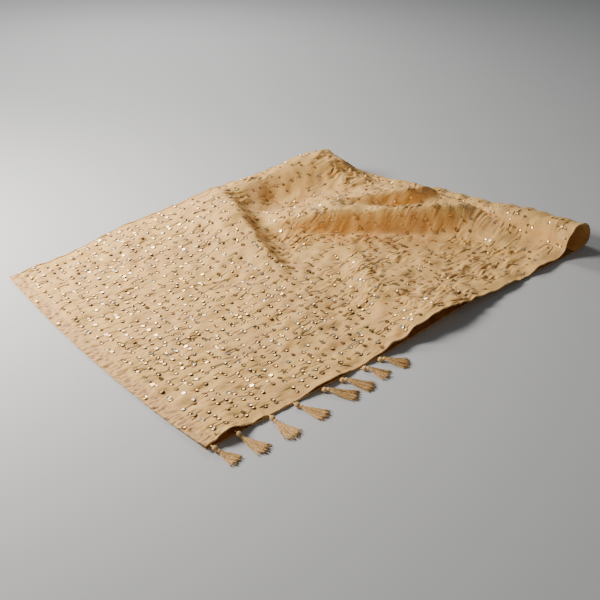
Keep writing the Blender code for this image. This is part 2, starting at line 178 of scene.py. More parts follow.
Section = namedtuple("Section", "y flank top height outer landing lead")
LOOP = [
    Section(-0.35, 0.458, 0.492, 0.063, 0.549, 0.500, 0.006),
    Section(-0.30, 0.458, 0.488, 0.064, 0.546, 0.500, 0.010),
    Section(-0.24, 0.445, 0.480, 0.064, 0.537, 0.495, 0.020),
    Section(-0.18, 0.435, 0.468, 0.058, 0.523, 0.490, 0.040),
    Section(-0.10, 0.430, 0.458, 0.048, 0.506, 0.485, 0.043),
    Section(0.00, 0.430, 0.455, 0.041, 0.495, 0.476, 0.038),
    Section(0.10, 0.430, 0.446, 0.029, 0.480, 0.464, 0.028),
    Section(0.20, 0.420, 0.434, 0.020, 0.468, 0.454, 0.019),
    Section(0.30, 0.408, 0.422, 0.017, 0.456, 0.443, 0.016),
    Section(0.35, 0.403, 0.418, 0.016, 0.452, 0.440, 0.015),
]
LOOP_LEAD = 0.05
FLANK_SHARE = 0.5
OUTER_SHARE = 0.42
ROUNDNESS = 0.55
print(len(NEAR_PLEAT) + len(FAR_PLEAT), "stations shape the two pleats")

# %% [markdown]
# ## Where a point of the cloth lies
# `follow` draws a smooth curve through one column of a table. `fold` turns a table into a rise and a
# lean. The upper cloth adds up its folds, mounds and lifted edge; the loop is four curved quarters, and
# it hands over smoothly to the flat cloth underneath.


# %% The shape of the cloth
def follow(place, rows, name):
    """A smooth curve through one column of a table, level beyond both of its ends."""
    at = np.array([row[0] for row in rows])
    value = np.array([getattr(row, name) for row in rows])
    slope = np.gradient(value, at)
    slope[0] = 0.0
    slope[-1] = 0.0
    place = np.clip(place, at[0], at[-1])
    i = np.clip(np.searchsorted(at, place, side="right") - 1, 0, len(at) - 2)
    step = at[i + 1] - at[i]
    t = (place - at[i]) / step
    start = (2 * t**3 - 3 * t**2 + 1) * value[i] + (t**3 - 2 * t**2 + t) * step * slope[i]
    end = (3 * t**2 - 2 * t**3) * value[i + 1] + (t**3 - t**2) * step * slope[i + 1]
    return start + end


def ease(value, start, end):
    """A smooth step from 0 at start to 1 at end."""
    t = np.clip((value - start) / (end - start), 0.0, 1.0)
    return t * t * (3 - 2 * t)


def fold(at, across, rows):
    """What one fold adds: its rise, and its shift along the run and across it."""
    crest = follow(at, rows, "crest")
    height = follow(at, rows, "height")
    front = follow(at, rows, "front")
    back = follow(at, rows, "back")
    lean = follow(at, rows, "lean") * height
    small = 0.001
    slope = (follow(at + small, rows, "crest") - follow(at - small, rows, "crest")) / (2 * small)
    stretch = np.sqrt(1 + slope**2)
    off = (across - crest) / stretch
    steep = np.exp(-((off / front) ** 2))
    gentle = (1 + (off / back) ** 2) ** -1.5
    rise = height * np.where(off < 0, steep, gentle)
    shift = lean * np.exp(-((off / (1.3 * front)) ** 2))
    return rise, shift * slope / stretch, -shift / stretch


def top_cloth(along, aside):
    """The upper cloth before it comes to the loop."""
    y = aside - WIDTH / 2
    bow = END_BOW * (1 - (2 * aside / WIDTH - 1) ** 2) * np.exp(-along / END_BOW_REACH)
    x = TOP_END_X + along - bow
    flare = FLARE * np.exp(-(((x - FLARE_X) / FLARE_HALF_LENGTH) ** 2)) * ease(y, 0.05, WIDTH / 2)
    z = REST_TOP + follow(x, NEAR_LIFTS, "height") * np.exp(-(((y - NEAR_Y) / LIFT_REACH) ** 2))
    shift_x = np.zeros_like(x)
    shift_y = flare
    for rows in (NEAR_PLEAT, FAR_PLEAT, BACK_RIDGE):
        rise, run, side = fold(x, y, rows)
        z = z + rise
        shift_x = shift_x + run
        shift_y = shift_y + side
    mirrored = [row._replace(crest=-row.crest) for row in CROSS_RIDGE]
    rise, _, side = fold(y, -x, mirrored)
    z = z + rise
    shift_x = shift_x - side
    rise, _, _ = fold(y, x, SLANTING_RIDGE)
    z = z + rise
    for mound in MOUNDS:
        far = ((x - mound.x) / mound.half_length) ** 2 + ((y - mound.y) / mound.half_width) ** 2
        z = z + mound.height * np.exp(-far)
    return np.stack([x + shift_x, y + shift_y, z], axis=-1)


def arc(points, t):
    """A cubic curve from the first of four points to the last."""
    a, b, c, d = points
    t = t[..., None]
    return (1 - t) ** 3 * a + 3 * (1 - t) ** 2 * t * b + 3 * (1 - t) * t**2 * c + t**3 * d


def loop_cloth(along, y):
    """The cloth that comes into the loop, goes over it and lies underneath."""
    flank, top, height, outer, landing, lead = [follow(y, LOOP, name) for name in Section._fields[1:]]
    start = flank - LOOP_LEAD
    middle = np.maximum(FLANK_SHARE * height, lead + 0.3 * (height - lead))
    side = OUTER_SHARE * height
    floor = np.full_like(y, REST_UNDER)

    def at(x, z):
        return np.stack([x, z], axis=-1)

    quarters = [
        (at(start, lead), at(start + 0.8 * LOOP_LEAD, lead),
         at(flank, middle - 0.7 * (middle - lead)), at(flank, middle)),
        (at(flank, middle), at(flank, middle + ROUNDNESS * (height - middle)),
         at(top - ROUNDNESS * (top - flank), height), at(top, height)),
        (at(top, height), at(top + ROUNDNESS * (outer - top), height),
         at(outer, side + ROUNDNESS * (height - side)), at(outer, side)),
        (at(outer, side), at(outer, 0.2 * side),
         at(landing + 0.7 * (outer - landing), floor), at(landing, floor)),
    ]
    turn = 4 * (along - TOP_LENGTH) / LOOP_LENGTH
    quarter = np.clip(np.floor(turn), 0, 3)
    section = np.zeros(y.shape + (2,))
    for number, points in enumerate(quarters):
        here = arc(points, np.clip(turn - number, 0.0, 1.0))
        section = np.where((quarter == number)[..., None], here, section)
    before = at(start + along - TOP_LENGTH, lead)
    past = (along - TOP_LENGTH - LOOP_LENGTH) / UNDER_LENGTH
    after = at(landing + past * (UNDER_END_X - landing), floor)
    section = np.where((turn < 0)[..., None], before, section)
    section = np.where((turn > 4)[..., None], after, section)
    return np.stack([section[..., 0], y, section[..., 1]], axis=-1)


def cloth(along, aside):
    """Where the middle of the cloth lies, in the model's frame."""
    share = ease(along, TOP_LENGTH - LOOP_BLEND, TOP_LENGTH + LOOP_BLEND_PAST)[..., None]
    upper = top_cloth(along, aside)
    lying = (1 - share) * upper + share * loop_cloth(along, aside - WIDTH / 2)
    fading = 1 - ease(along, TOP_LENGTH, TOP_LENGTH + CARRY_PAST)
    short = (upper[..., 2] - REST_TOP) * fading - lying[..., 2]
    rise = 0.5 * (short + np.sqrt(short**2 + CARRY_SOFT**2))
    lying[..., 2] += rise * fading * ease(along, TOP_LENGTH - CARRY_BEFORE, TOP_LENGTH)
    return lying + SHIFT


def cloth_normal(along, aside):
    """The direction straight out of the cloth's right side."""
    small = 0.0015
    run = cloth(along + small, aside) - cloth(along - small, aside)
    side = cloth(along, aside + small) - cloth(along, aside - small)
    out = np.cross(run, side)
    return out / np.linalg.norm(out, axis=-1, keepdims=True)


print("crest of the near pleat, high point:", cloth(np.array([0.86]), np.array([0.275])).round(3))

# %% [markdown]
# ## Relief of the crinkled cloth
# Crinkled cloth is twisted wet and dried, so it keeps soft puffs with fine creases between them, most of
# them along its length. Random lumps that are smoothed far more along the cloth than across it have just
# that grain. Where such lumps cross their middle level, a line runs: that line is a crease. The relief is
# worked out once, on one fine lattice over the whole cloth, so that it runs on across the pieces.

# %% Random lumps with a grain
LATTICE_STEP = (0.002, 0.001)
LATTICE_SIZE = (1080, 720)
LATTICE_EDGE = 0.010


def lumps(seed, long, wide):
    """Smooth random lumps over the whole cloth, of middle 0 and spread 1, and about so long and wide."""
    rough = np.random.default_rng(seed).standard_normal(LATTICE_SIZE)
    along_wave = np.fft.fftfreq(LATTICE_SIZE[0], LATTICE_STEP[0])[:, None]
    aside_wave = np.fft.rfftfreq(LATTICE_SIZE[1], LATTICE_STEP[1])[None, :]
    keep = np.exp(-2 * np.pi**2 * ((along_wave * long) ** 2 + (aside_wave * wide) ** 2))
    smooth = np.fft.irfft2(np.fft.rfft2(rough) * keep, LATTICE_SIZE)
    return smooth / smooth.std()


def read_lattice(values, along, aside):
    """The lattice's value at any place of the cloth."""
    i = np.clip((along + LATTICE_EDGE) / LATTICE_STEP[0], 0, LATTICE_SIZE[0] - 1.001)
    j = np.clip((aside + LATTICE_EDGE) / LATTICE_STEP[1], 0, LATTICE_SIZE[1] - 1.001)
    i0 = i.astype(int)
    j0 = j.astype(int)
    s = i - i0
    t = j - j0
    near = values[i0, j0] * (1 - t) + values[i0, j0 + 1] * t
    far = values[i0 + 1, j0] * (1 - t) + values[i0 + 1, j0 + 1] * t
    return near * (1 - s) + far * s


lattice_along = (np.arange(LATTICE_SIZE[0]) * LATTICE_STEP[0] - LATTICE_EDGE)[:, None]
lattice_aside = (np.arange(LATTICE_SIZE[1]) * LATTICE_STEP[1] - LATTICE_EDGE)[None, :]
lattice_along, lattice_aside = np.broadcast_arrays(lattice_along, lattice_aside)
print("lattice points:", LATTICE_SIZE[0] * LATTICE_SIZE[1])

# %% [markdown]
# ## Where the sequins go
# The sequins are sewn in rows across the cloth, about two centimetres apart, one here and a pair there.
# The thread that holds each one pulls the cloth into a short crease on both of its sides, so the places of
# the sequins are needed before the relief is made. The rows are fullest near the short end.

# %% Places of the sequins
ROW_PITCH = 0.0215
FIRST_ROW = 0.034
TWIN_GAP = 0.0085
TWIN_SHARE = 0.30              # of the sequins have a second one beside them
FULL_ROW = 0.96                # share of the places in a row that are filled near the short end
THINNED_BY = 0.38              # and how much lower that share is near the fold
BAND_SEQUINS = (0.055, 0.16, 0.215, 0.34, 0.47, 0.585)
chance = np.random.default_rng(7)
sequin_places = []
row_along = FIRST_ROW
while row_along < TOP_LENGTH + 0.55 * LOOP_LENGTH:
    aside = chance.uniform(0.008, 0.030)
    while aside < WIDTH - 0.006:
        crowded = FULL_ROW - THINNED_BY * ease(row_along, 0.30, 0.75)
        if chance.random() < crowded:
            sequin_places.append((row_along + chance.normal(0, 0.0016), aside))
            if chance.random() < TWIN_SHARE:
                aside += TWIN_GAP
                sequin_places.append((row_along + chance.normal(0, 0.0012), aside))
        aside += chance.uniform(0.011, 0.026)
    row_along += ROW_PITCH * chance.uniform(0.85, 1.15)
for aside in BAND_SEQUINS:
    sequin_places.append((0.006, aside + chance.normal(0, 0.008)))
sequin_places = np.array(sequin_places)
print(len(sequin_places), "sequins")

# %% [markdown]
# ## Creases of the sewn places
# The thread under a sequin gathers the cloth. Each sewn place gets one narrow, slightly bent crease along
# the cloth, of its own length and depth, and a small dent beside the sequin on the side away from the light.
# Both are also painted dark: the crease as painted shade, the dent as the sequin's painted shadow.

# %% Creases where the sequins are sewn on
CREASE_HALF_WIDTH = 0.0010
DENT_AND_SHADOW_REACH = 0.0042
sewn = np.zeros(LATTICE_SIZE)
for along, aside in sequin_places:
    before = chance.uniform(0.003, 0.025)
    after = chance.uniform(0.003, 0.025)
    slant = chance.normal(-0.05, 0.14)
    bend = chance.normal(0, 3.0)
    depth = chance.uniform(0.25, 1.0)
    i = slice(*(int((place + LATTICE_EDGE) / LATTICE_STEP[0]) for place in (along - 0.026, along + 0.028)))
    j = slice(*(int((place + LATTICE_EDGE) / LATTICE_STEP[1]) for place in (aside - 0.012, aside + 0.013)))
    i = slice(max(i.start, 0), i.stop)
    j = slice(max(j.start, 0), j.stop)
    run = lattice_along[i, j] - along
    off = lattice_aside[i, j] - aside - slant * run - bend * run**2
    reach = np.where(run < 0, before, after)
    line = np.exp(-((off / CREASE_HALF_WIDTH) ** 2)) * np.exp(-((run / reach) ** 4))
    # a real dent beside the sequin, away from the light, that is also painted dark as the sequin's shadow
    dent_and_shadow_depth = 0.60 - 0.35 * float(ease(along, 0.40, 0.70))
    from_dent_and_shadow = (run - 0.0012) ** 2 + (off + 0.0022) ** 2
    dent_and_shadow = dent_and_shadow_depth * np.exp(-((from_dent_and_shadow / DENT_AND_SHADOW_REACH**2) ** 2))
    sewn[i, j] = np.maximum(sewn[i, j], np.maximum(depth * line, dent_and_shadow))
print("share of the cloth that a sewn crease crosses:", round(float((sewn > 0.3).mean()), 3))

# %% [markdown]
# ## The crinkle itself
# Crinkled cloth has puffs between its creases, a fine crumple that is strongest in the rumpled middle, and
# broad soft lumps. A crease is drawn where lumps cross their middle height. `lines_between` divides by the
# steepness there, so that a crease keeps its width. `lying` is 1 where the cloth is flat and 0 where it is
# steep, and there the crinkle is weaker.

# %% Puffs, loose creases and broad lumps
middle_part = ease(lattice_along, 0.36, 0.56) * (1 - ease(lattice_along, 0.95, 1.05))
swirl = 0.0030 + 0.0025 * middle_part
warped_along = lattice_along + swirl * lumps(17, 0.012, 0.012)
warped_aside = lattice_aside + swirl * lumps(18, 0.013, 0.013)


def swirled(values):
    """The same lumps, pushed about so that their grain wanders."""
    return read_lattice(values, warped_along, warped_aside)


def lines_between(values, half_width):
    """Lines of an even width where the lumps cross their middle level."""
    steepness = np.hypot(*np.gradient(values, *LATTICE_STEP))
    away = np.abs(values) / (steepness + 0.35 * steepness.mean())
    return np.exp(-((away / half_width) ** 2)) * ease(steepness / steepness.mean(), 0.3, 0.9)


grain = swirled(lumps(11, 0.010, 0.0042))
puffs = 1.0 - np.exp(-((grain / 0.7) ** 2))
split = read_lattice(lumps(20, 0.014, 0.0040), lattice_along + 0.4 * (warped_along - lattice_along),
                     lattice_aside + 0.4 * (warped_aside - lattice_aside))
loose = lines_between(split, 0.0010) * ease(lumps(12, 0.009, 0.006), 0.75, 1.5)
fine_grain = swirled(lumps(13, 0.006, 0.0020))
worked = ease(lumps(14, 0.028, 0.020) + 0.7 * middle_part, 0.3, 1.4)
fine_creases = lines_between(fine_grain, 0.0009) * worked
broad = lumps(15, 0.0095, 0.0080)
rumpled = lumps(16, 0.034, 0.024)
creases = np.clip(np.maximum(sewn, loose) + 0.28 * fine_creases, 0.0, 1.0)
relief = (
    0.00040 * puffs
    - 0.00130 * creases
    + 0.00160 * broad
    + (0.0009 + 0.0008 * middle_part) * rumpled
    + (0.00040 + 0.00070 * middle_part) * fine_grain * worked
)
edge_near = np.exp(-((lattice_aside / 0.018) ** 2))
edge_far = np.exp(-(((lattice_aside - WIDTH) / 0.025) ** 2))
relief = relief * (1 - 0.6 * edge_far) + 0.0022 * lumps(19, 0.010, 0.030) * (edge_near + 0.4 * edge_far)
lying = ease(cloth_normal(lattice_along, lattice_aside)[..., 2], 0.55, 0.95)
into_loop = np.exp(-(((lattice_along - 0.92) / 0.055) ** 2) - ((lattice_aside - 0.24) / 0.10) ** 2)
relief = relief * (0.40 + 0.60 * lying) * (1 - 0.6 * into_loop)
# from here on the creases only set how much shade is painted: less on steep cloth, near the loop and in the
# middle
creases = creases * (0.60 + 0.40 * lying) * (1 - 0.5 * into_loop) * (1 - 0.25 * middle_part)
print("relief from", round(relief.min() * 1000, 2), "to", round(relief.max() * 1000, 2), "mm")

# %% [markdown]
# ## The pleated band at the short end
# The last two centimetres are gathered into close fine pleats that stand across the band. They are one
# wave across the cloth, with an uneven pitch, and they fade out where the band is sewn to the field.

# %% Pleats of the end band
PLEAT_PITCH = 0.0066
wander = lumps(21, 0.030, 0.012)
pleat_wave = np.sin(2 * np.pi * (lattice_aside / PLEAT_PITCH + 0.35 * wander))
in_band = 1 - ease(lattice_along, 0.016, 0.030)
crumple = lumps(22, 0.0030, 0.0020)
pleat_relief = 0.00025 * pleat_wave + 0.0009 * crumple
seam = np.exp(-(((lattice_along - 0.021) / 0.0016) ** 2))
relief = relief * (1 - in_band) + pleat_relief * in_band - 0.0007 * seam
# painted shade in the troughs of the band's pleats and crumple
band_crease_shade = in_band * 0.55 * ease(-0.35 * pleat_wave - 0.7 * crumple, 0.4, 1.3)
creases = np.maximum(creases * (1 - in_band), band_crease_shade)
creases = np.maximum(creases, 0.25 * seam)
print("pleats across the band:", round(WIDTH / PLEAT_PITCH))

# %% [markdown]
# ## Cloth pieces
# Each stretch of cloth is a grid. The grid's own columns and rows give `along` and `aside`; the points
# move to where that place of the cloth lies, and then out along the cloth's normal by the relief.
# A UV map keeps `along` and `aside` in metres, so that the weave follows the cloth round its folds.
# Heights are kept within limits, so that the two layers never pass through each other or the floor.


# %% Make a stretch of cloth
DRAWN_IN = 0.015               # how far the lower layer's near edge is pulled in under the upper one
LOWEST_ON_TOP = 0.0032
LOWEST_BENEATH = 0.0005
HIGHEST_BENEATH = 0.0022


def crinkled(along, aside):
    """Where the right side of the crinkled cloth lies."""
    rise = read_lattice(relief, along, aside)
    under = ease(along, TOP_LENGTH + LOOP_LENGTH - 0.03, TOP_LENGTH + LOOP_LENGTH + 0.02)
    rise = rise * (1 - 0.7 * under)
    out = cloth_normal(along, aside)
    place = cloth(along, aside) + out * rise[..., None]
    place[..., 1] += under * DRAWN_IN * np.exp(-(((place[..., 0] - 0.15) / 0.17) ** 2) - (aside / 0.10) ** 2)
    height = np.maximum(place[..., 2], np.where(along < TOP_LENGTH, LOWEST_ON_TOP, LOWEST_BENEATH))
    beneath = along > TOP_LENGTH + LOOP_LENGTH
    place[..., 2] = np.where(beneath, np.minimum(height, HIGHEST_BENEATH), height)
    return place


def linked(name, mesh):
    """Put a mesh in the scene as a piece."""
    piece = bpy.data.objects.new(name, mesh)
    bpy.context.scene.collection.objects.link(piece)
    return piece


def cloth_piece(name, start, end, step, rows):
    """A stretch of cloth between two places along it."""
    steps = max(2, round((end - start) / step))
    shape = bmesh.new()
    bmesh.ops.create_grid(shape, x_segments=steps, y_segments=rows, size=0.5)
    mesh = bpy.data.meshes.new(name)
    shape.to_mesh(mesh)
    shape.free()
    flat = np.zeros(len(mesh.vertices) * 3)
    mesh.vertices.foreach_get("co", flat)
    flat = flat.reshape(-1, 3) + 0.5
    along = start + flat[:, 0] * (end - start)
    aside = flat[:, 1] * WIDTH
    place = crinkled(along, aside)
    mesh.vertices.foreach_set("co", place.ravel())
    corner = np.zeros(len(mesh.loops), dtype=np.int32)
    mesh.loops.foreach_get("vertex_index", corner)
    weave = mesh.uv_layers.new(name="Weave")
    weave.data.foreach_set("uv", np.stack([along[corner], aside[corner]], axis=-1).ravel())
    # the crease attribute is the share of painted shade: creases, the sequins' painted shadows and the band's
    # pleat troughs
    mark = mesh.attributes.new("crease", "FLOAT", "POINT")
    mark.data.foreach_set("value", read_lattice(creases, along, aside))
    mesh.shade_smooth()
    mesh.update()
    print(name, len(mesh.polygons) * 2, "triangles")
    return linked(name, mesh)


FINE_STEP = 0.0020
FINE_ROWS = 570
end_band = cloth_piece("end_band", 0.0, END_BAND, 0.0016, 700)
left_field = cloth_piece("left_field", END_BAND, LEFT_END, FINE_STEP, FINE_ROWS)
middle_field = cloth_piece("middle_field", LEFT_END, MIDDLE_END, FINE_STEP, FINE_ROWS)
right_field = cloth_piece("right_field", MIDDLE_END, TOP_LENGTH, FINE_STEP, FINE_ROWS)
fold_cloth = cloth_piece("fold_cloth", TOP_LENGTH, TOP_LENGTH + LOOP_LENGTH, FINE_STEP, FINE_ROWS)
under_cloth = cloth_piece("under_cloth", TOP_LENGTH + LOOP_LENGTH, WHOLE_LENGTH, 0.0070, 180)
cloth_pieces = [end_band, left_field, middle_field, right_field, fold_cloth, under_cloth]

# %% [markdown]
# ## Rolled hems
# Each long edge is rolled over and stitched: a thin tube, a little lumpy, with puckers where the stitches
# pull. A narrow grid is wrapped round the edge of the cloth, and its two long sides are welded together.

# %% Make a rolled hem
HEM_SIDES = 8


def rolled_edge(name, path, radius, lumps_of_it):
    """A tube along a path of points, with its own radius at each."""
    steps = len(path) - 1
    shape = bmesh.new()
    bmesh.ops.create_grid(shape, x_segments=steps, y_segments=HEM_SIDES, size=0.5)
    run = np.gradient(path, axis=0)
    run /= np.linalg.norm(run, axis=1, keepdims=True)
    level = np.cross(run, (0.0, 0.0, 1.0))
    level /= np.maximum(np.linalg.norm(level, axis=1, keepdims=True), 1e-6)
    up = np.cross(level, run)
    for vert in shape.verts:
        i = round((vert.co.x + 0.5) * steps)
        turn = 2 * math.pi * (vert.co.y + 0.5)
        out = math.cos(turn) * level[i] + math.sin(turn) * up[i]
        vert.co = path[i] + radius[i] * (1 + 0.12 * math.sin(turn * 2 + lumps_of_it[i])) * out
    bmesh.ops.remove_doubles(shape, verts=shape.verts, dist=0.00001)
    bmesh.ops.holes_fill(shape, edges=[edge for edge in shape.edges if edge.is_boundary], sides=HEM_SIDES)
    bmesh.ops.recalc_face_normals(shape, faces=shape.faces)
    mesh = bpy.data.meshes.new(name)
    shape.to_mesh(mesh)
    shape.free()
    mesh.shade_smooth()
    print(name, len(mesh.polygons) * 2, "triangles")
    return linked(name, mesh)


def long_hem(name, aside, radius, unevenness, seed):
    """The rolled hem of one long edge, all the way along the cloth."""
    along = np.arange(0.0, WHOLE_LENGTH, 0.0028)
    wobble = np.random.default_rng(seed)
    rough = np.convolve(wobble.standard_normal(len(along) + 8), np.ones(9) / 9, mode="valid") * 2.0
    thick = radius * (1 + unevenness * np.clip(rough, -1.5, 1.5))
    edge = crinkled(along, np.full_like(along, aside))
    edge[:, 2] = np.maximum(edge[:, 2], thick + 0.0003)
    return rolled_edge(name, edge, thick, rough * 4)


near_hem = long_hem("near_hem", -0.0008, 0.0013, 0.22, 31)
far_hem = long_hem("far_hem", WIDTH + 0.0008, 0.0017, 0.40, 32)
end_places = np.linspace(0.0, WIDTH, 240)
end_edge = crinkled(np.full_like(end_places, 0.0004), end_places)
end_edge[:, 2] = np.maximum(end_edge[:, 2] - 0.0006, 0.0016)
end_roll = rolled_edge("end_roll", end_edge, np.full(240, 0.0010), end_places * 900)

# %% [markdown]
# ## Sequins
# A sequin is a thin shiny disc with a dished rim and a hole in the middle. One is made from a circle:
# its face is inset three times, which makes the rim, the dish and the hole in the middle.
# Every copy keeps those few dozen faces. Each is laid on the cloth at its place and tipped a little, because
# its thread never holds it quite flat, and that is what makes some of them flash and others look dark.
# Some are nearly flat and some deeply dished.

# %% One sequin
SEQUIN_RADIUS = 0.0038
RINGS = ((0.28, -0.09), (0.16, -0.02), (0.36, -0.07))      # width and rise of each inset, in radii


def one_sequin():
    shape = bmesh.new()
    bmesh.ops.create_circle(shape, cap_ends=True, segments=10, radius=1.0)
    shape.normal_update()
    bmesh.ops.reverse_faces(shape, faces=[face for face in shape.faces if face.normal.z < 0])
    middle = shape.faces[:]
    for width, rise in RINGS:
        bmesh.ops.inset_region(shape, faces=middle, thickness=width, depth=rise, use_boundary=True,
                               use_even_offset=True)
    mesh = bpy.data.meshes.new("sequin")
    shape.to_mesh(mesh)
    shape.free()
    mesh.shade_smooth()
    return mesh


pattern = one_sequin()
print("faces of one sequin:", len(pattern.polygons))

# %% Sew the sequins on
HELD = 0.13                    # how much a well-held sequin tips
LOOSER = 0.09                  # and how much more it tips near the fold
DISHES = (0.15, 0.5, 1.0, 1.3)
ABOVE_CLOTH = 0.0014
along, aside = sequin_places.T
seat = crinkled(along, aside)
soft = cloth_normal(along, aside)
tilt = np.random.default_rng(41)
sequin_shape = bmesh.new()
loose_hold = HELD + LOOSER * ease(along, 0.40, 0.70)
for place, out, hold in zip(seat, soft, loose_hold):
    before = len(sequin_shape.verts)
    sequin_shape.from_mesh(pattern)
    sequin_shape.verts.ensure_lookup_table()
    new = sequin_shape.verts[before:]
    lean = Vector(out) + Vector((*tilt.normal(0, hold, 2), 0.0))
    lean.normalize()
    turn = lean.to_track_quat("Z", "Y").to_matrix().to_4x4()
    size = SEQUIN_RADIUS * tilt.uniform(0.80, 1.15) * (1.0 - (hold - HELD))
    dish = size * tilt.choice(DISHES)
    spin = Matrix.Rotation(tilt.uniform(0, 1), 4, "Z")
    where = Matrix.Translation(Vector(place) + ABOVE_CLOTH * Vector(out))
    full_size = Matrix.Diagonal((size, size, dish, 1.0))
    bmesh.ops.transform(sequin_shape, matrix=where @ turn @ spin @ full_size, verts=new)
sequin_mesh = bpy.data.meshes.new("sequins")
sequin_shape.to_mesh(sequin_mesh)
sequin_shape.free()
tints = np.random.default_rng(42).uniform(0, 1, len(sequin_places))
mark = sequin_mesh.attributes.new("tint", "FLOAT", "POINT")
mark.data.foreach_set("value", np.repeat(tints, len(pattern.vertices)))
rim = [1.0 if vert.co.xy.length > 0.7 else 0.0 for vert in pattern.vertices]
mark = sequin_mesh.attributes.new("rim", "FLOAT", "POINT")
mark.data.foreach_set("value", np.tile(rim, len(sequin_places)))
sequin_mesh.shade_smooth()
sequins = linked("sequins", sequin_mesh)
print("sequins:", len(sequin_mesh.polygons), "faces")

# %% [markdown]
# ## Tassels
# A tassel hangs from the hem by a short cord. A wrapped knot comes first, then a narrower wrapped neck,
# and then the skirt: a few dozen threads that spread out flat on the table. The knot is a profile that is
# spun, with a groove for each turn of the wrapping. A thread is a small ring of points, extruded step by
# step along its own wavy way from the neck to the tip.

# %% Where the tassels lie
Tassel = namedtuple("Tassel", "x turn length layer")
TASSELS = [
    Tassel(-0.492, 19, 0.050, "upper"),
    Tassel(-0.445, 16, 0.060, "upper"),
    Tassel(-0.376, 2, 0.061, "upper"),
    Tassel(-0.326, 24, 0.060, "upper"),
    Tassel(-0.265, 34, 0.064, "lower"),
    Tassel(-0.223, 33, 0.061, "lower"),
    Tassel(-0.169, 26, 0.051, "lower"),
    Tassel(-0.130, 38, 0.057, "lower"),
]
HEM_WIDTH = 0.004
HEM_CLEARANCE = 0.0012
KNOT_LENGTH = 0.018
BEAD_RADIUS = 0.0048
BEAD_CLEARANCE = 0.0012
SKIRT_NECK = 0.0034
SKIRT_HALF_WIDTH = 0.0185
SKIRT_FULL = 1.10
SKIRT_HALF_HEIGHT = 0.0028
THREADS = 64


def tassel_ends(tassel):
    """The places of a tassel's hem end, of the start of its skirt and of the tips."""
    turn = math.radians(tassel.turn)
    out = Vector((math.sin(turn), -math.cos(turn), 0.0))
    x = np.array([tassel.x])
    if tassel.layer == "upper":
        point = top_cloth(x - TOP_END_X, np.array([-HEM_WIDTH]))[0]
    else:
        point = np.array([tassel.x, NEAR_Y - HEM_WIDTH, REST_UNDER])
    hem = Vector((tassel.x, point[1] - HEM_CLEARANCE, max(point[2], 0.0014))) + Vector(SHIFT)
    neck = hem + out * KNOT_LENGTH
    neck.z = max(SKIRT_NECK, 2 * BEAD_RADIUS - hem.z) + BEAD_CLEARANCE
    reached = hem + (neck - hem).normalized() * KNOT_LENGTH
    tip = reached + out * (SKIRT_FULL * tassel.length - KNOT_LENGTH)
    tip.z = SKIRT_HALF_HEIGHT
    return hem, reached, tip


print("first tassel:", [tuple(round(c, 3) for c in place) for place in tassel_ends(TASSELS[0])])

# %% Make a tassel
Turn = namedtuple("Turn", "radius down")
CORD = [Turn(0.0011, 0.0), Turn(0.0012, 0.0035)]
NECK = [Turn(0.0024, 0.0130), Turn(0.0031, 0.0142), Turn(0.0033, 0.0160), Turn(0.0030, 0.0180)]
BEAD_START = 0.0040
BEAD_END = 0.0125
WRAPS = 7


def knot_profile():
    """The cord, the bead with a groove between its wraps, and the neck."""
    rows = list(CORD)
    for i in range(2 * WRAPS + 1):
        share = i / (2 * WRAPS)
        round_of_it = math.sqrt(max(1 - (2 * share - 1) ** 2, 0.0))
        groove = 0.00035 if i % 2 else 0.0
        radius = 0.0019 + (BEAD_RADIUS - 0.0019) * round_of_it - groove
        rows.append(Turn(radius, BEAD_START + share * (BEAD_END - BEAD_START)))
    return rows + NECK


def add_knot(shape, start, end):
    """Spin the profile and lay it from the hem to the skirt."""
    down = (end - start).normalized()
    frame_of_it = down.to_track_quat("Z", "Y").to_matrix().to_4x4()
    frame_of_it.translation = start
    made = [shape.verts.new((turn.radius, 0.0, turn.down)) for turn in knot_profile()]
    edges = [shape.edges.new(pair) for pair in zip(made, made[1:])]
    spun = bmesh.ops.spin(shape, geom=made + edges, cent=(0, 0, 0), axis=(0, 0, 1), dvec=(0, 0, 0),
                          angle=2 * math.pi, steps=14, use_merge=True)
    verts = {vert for face in shape.faces for vert in face.verts if not vert.tag}
    bmesh.ops.transform(shape, matrix=frame_of_it, verts=list(verts))
    for vert in verts:
        vert.tag = True
    return spun


def add_thread(shape, way, radius):
    """Extrude a small ring of points along a way."""
    ring = bmesh.ops.create_circle(shape, segments=5, radius=radius)["verts"]
    along_it = (way[1] - way[0]).normalized()
    place = along_it.to_track_quat("Z", "Y").to_matrix().to_4x4()
    place.translation = way[0]
    bmesh.ops.transform(shape, matrix=place, verts=ring)
    edges = list({edge for vert in ring for edge in vert.link_edges})
    every = list(ring)
    for last, here in zip(way, way[1:]):
        grown = bmesh.ops.extrude_edge_only(shape, edges=edges)["geom"]
        ring = [item for item in grown if isinstance(item, bmesh.types.BMVert)]
        edges = [item for item in grown if isinstance(item, bmesh.types.BMEdge)]
        bmesh.ops.translate(shape, verts=ring, vec=here - last)
        every.extend(ring)
    tip = way[-1]
    for vert in ring:
        vert.co = tip + (vert.co - tip) * 0.6
    bmesh.ops.contextual_create(shape, geom=edges)
    for vert in every:
        vert.tag = True


